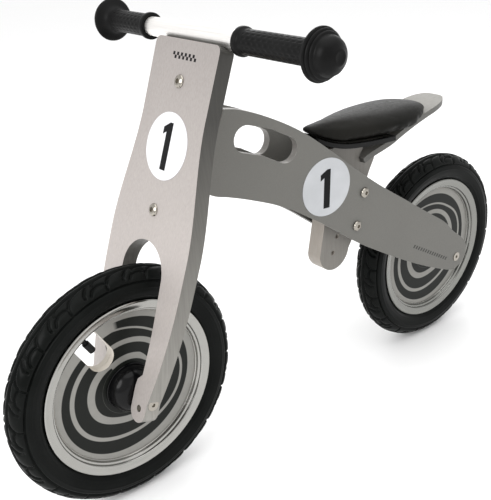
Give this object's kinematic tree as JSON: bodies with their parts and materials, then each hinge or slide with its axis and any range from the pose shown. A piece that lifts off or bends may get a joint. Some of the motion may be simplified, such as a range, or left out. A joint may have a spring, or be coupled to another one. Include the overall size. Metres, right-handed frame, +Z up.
{
  "type": "balance bike",
  "caption": "Child's balance bike without pedals: two plank frame, flat plate fork with grips, seat on a plank post, air tyres on closed disc wheels.",
  "frame": {"origin": "on the ground, midway between the two axles, on the centre plane", "axes": "front faces -X, the rider's left is -Y, +Z is up"},
  "size_m": [0.8599, 0.423, 0.563],
  "materials": {
    "frame_lacquer": "satin",
    "beech": "matte",
    "black_plastic": "matte",
    "post_lacquer": "satin",
    "silver_lacquer": "satin",
    "black_ply": "satin",
    "vinyl": "satin",
    "label_film": "gloss",
    "bar_metal": "satin",
    "grip_rubber": "matte",
    "black_metal": "satin",
    "tyre_rubber": "matte",
    "tube_rubber": "matte",
    "rim_metal": "polished",
    "disc_print": "gloss",
    "hub_plastic": "satin",
    "white_plastic": "matte",
    "dome_plastic": "gloss",
    "bright_steel": "polished"
  },
  "bodies": {
    "frame": {"frame_plate_left": "frame_lacquer", "frame_plate_right": "frame_lacquer", "head_block": "beech", "head_bush_upper": "black_plastic", "head_bush_lower": "black_plastic", "head_dowels": "beech", "seat_post": "post_lacquer", "post_bolts": "bright_steel", "post_cap_nuts": "bright_steel", "post_spacers": "black_plastic", "tail_board": "silver_lacquer", "tail_screws": "bright_steel", "seat_base": "black_ply", "seat_base_screws": "bright_steel", "seat_pad": "vinyl", "rear_axle": "bright_steel", "rear_axle_screws": "bright_steel", "rear_axle_spacers": "bright_steel", "side_disc_left": "label_film", "side_disc_right": "label_film"},
    "fork": {"fork_plate": "silver_lacquer", "handlebar": "bar_metal", "handlebar_screws": "bright_steel", "grip_left": "grip_rubber", "grip_right": "grip_rubber", "steering_lug_upper": "black_metal", "steering_lug_lower": "black_metal", "steering_rod": "bright_steel", "rod_nuts": "bright_steel", "steering_washers": "bright_steel", "fork_bolts": "bright_steel", "front_axle": "bright_steel", "front_axle_screws": "bright_steel", "front_axle_spacers": "bright_steel", "leg_screws": "bright_steel", "front_number_disc": "label_film"},
    "front_wheel": {"front_tyre": "tyre_rubber", "front_inner_tube": "tube_rubber", "front_valve_cap": "black_plastic", "front_rim": "rim_metal", "front_disc_left": "disc_print", "front_disc_right": "disc_print", "front_hub": "hub_plastic", "front_hub_bushes": "white_plastic", "front_hub_dome_left": "dome_plastic", "front_hub_dome_right": "dome_plastic"},
    "rear_wheel": {"rear_tyre": "tyre_rubber", "rear_inner_tube": "tube_rubber", "rear_valve_cap": "black_plastic", "rear_rim": "rim_metal", "rear_disc_left": "disc_print", "rear_disc_right": "disc_print", "rear_hub": "hub_plastic", "rear_hub_bushes": "white_plastic", "rear_hub_dome_left": "dome_plastic", "rear_hub_dome_right": "dome_plastic"}
  },
  "joints": [
    {"name": "steering", "type": "hinge", "parent": "frame", "child": "fork", "pos_m": [-0.25456, 0, 0.14094], "axis": [0.3354, 0, 0.9421], "range_deg": [-35, 35]},
    {"name": "front_wheel_spin", "type": "hinge", "parent": "fork", "child": "front_wheel", "pos_m": [-0.28, 0, 0.15], "axis": [0, 1, 0], "continuous": true},
    {"name": "rear_wheel_spin", "type": "hinge", "parent": "frame", "child": "rear_wheel", "pos_m": [0.28, 0, 0.15], "axis": [0, 1, 0], "continuous": true}
  ]
}
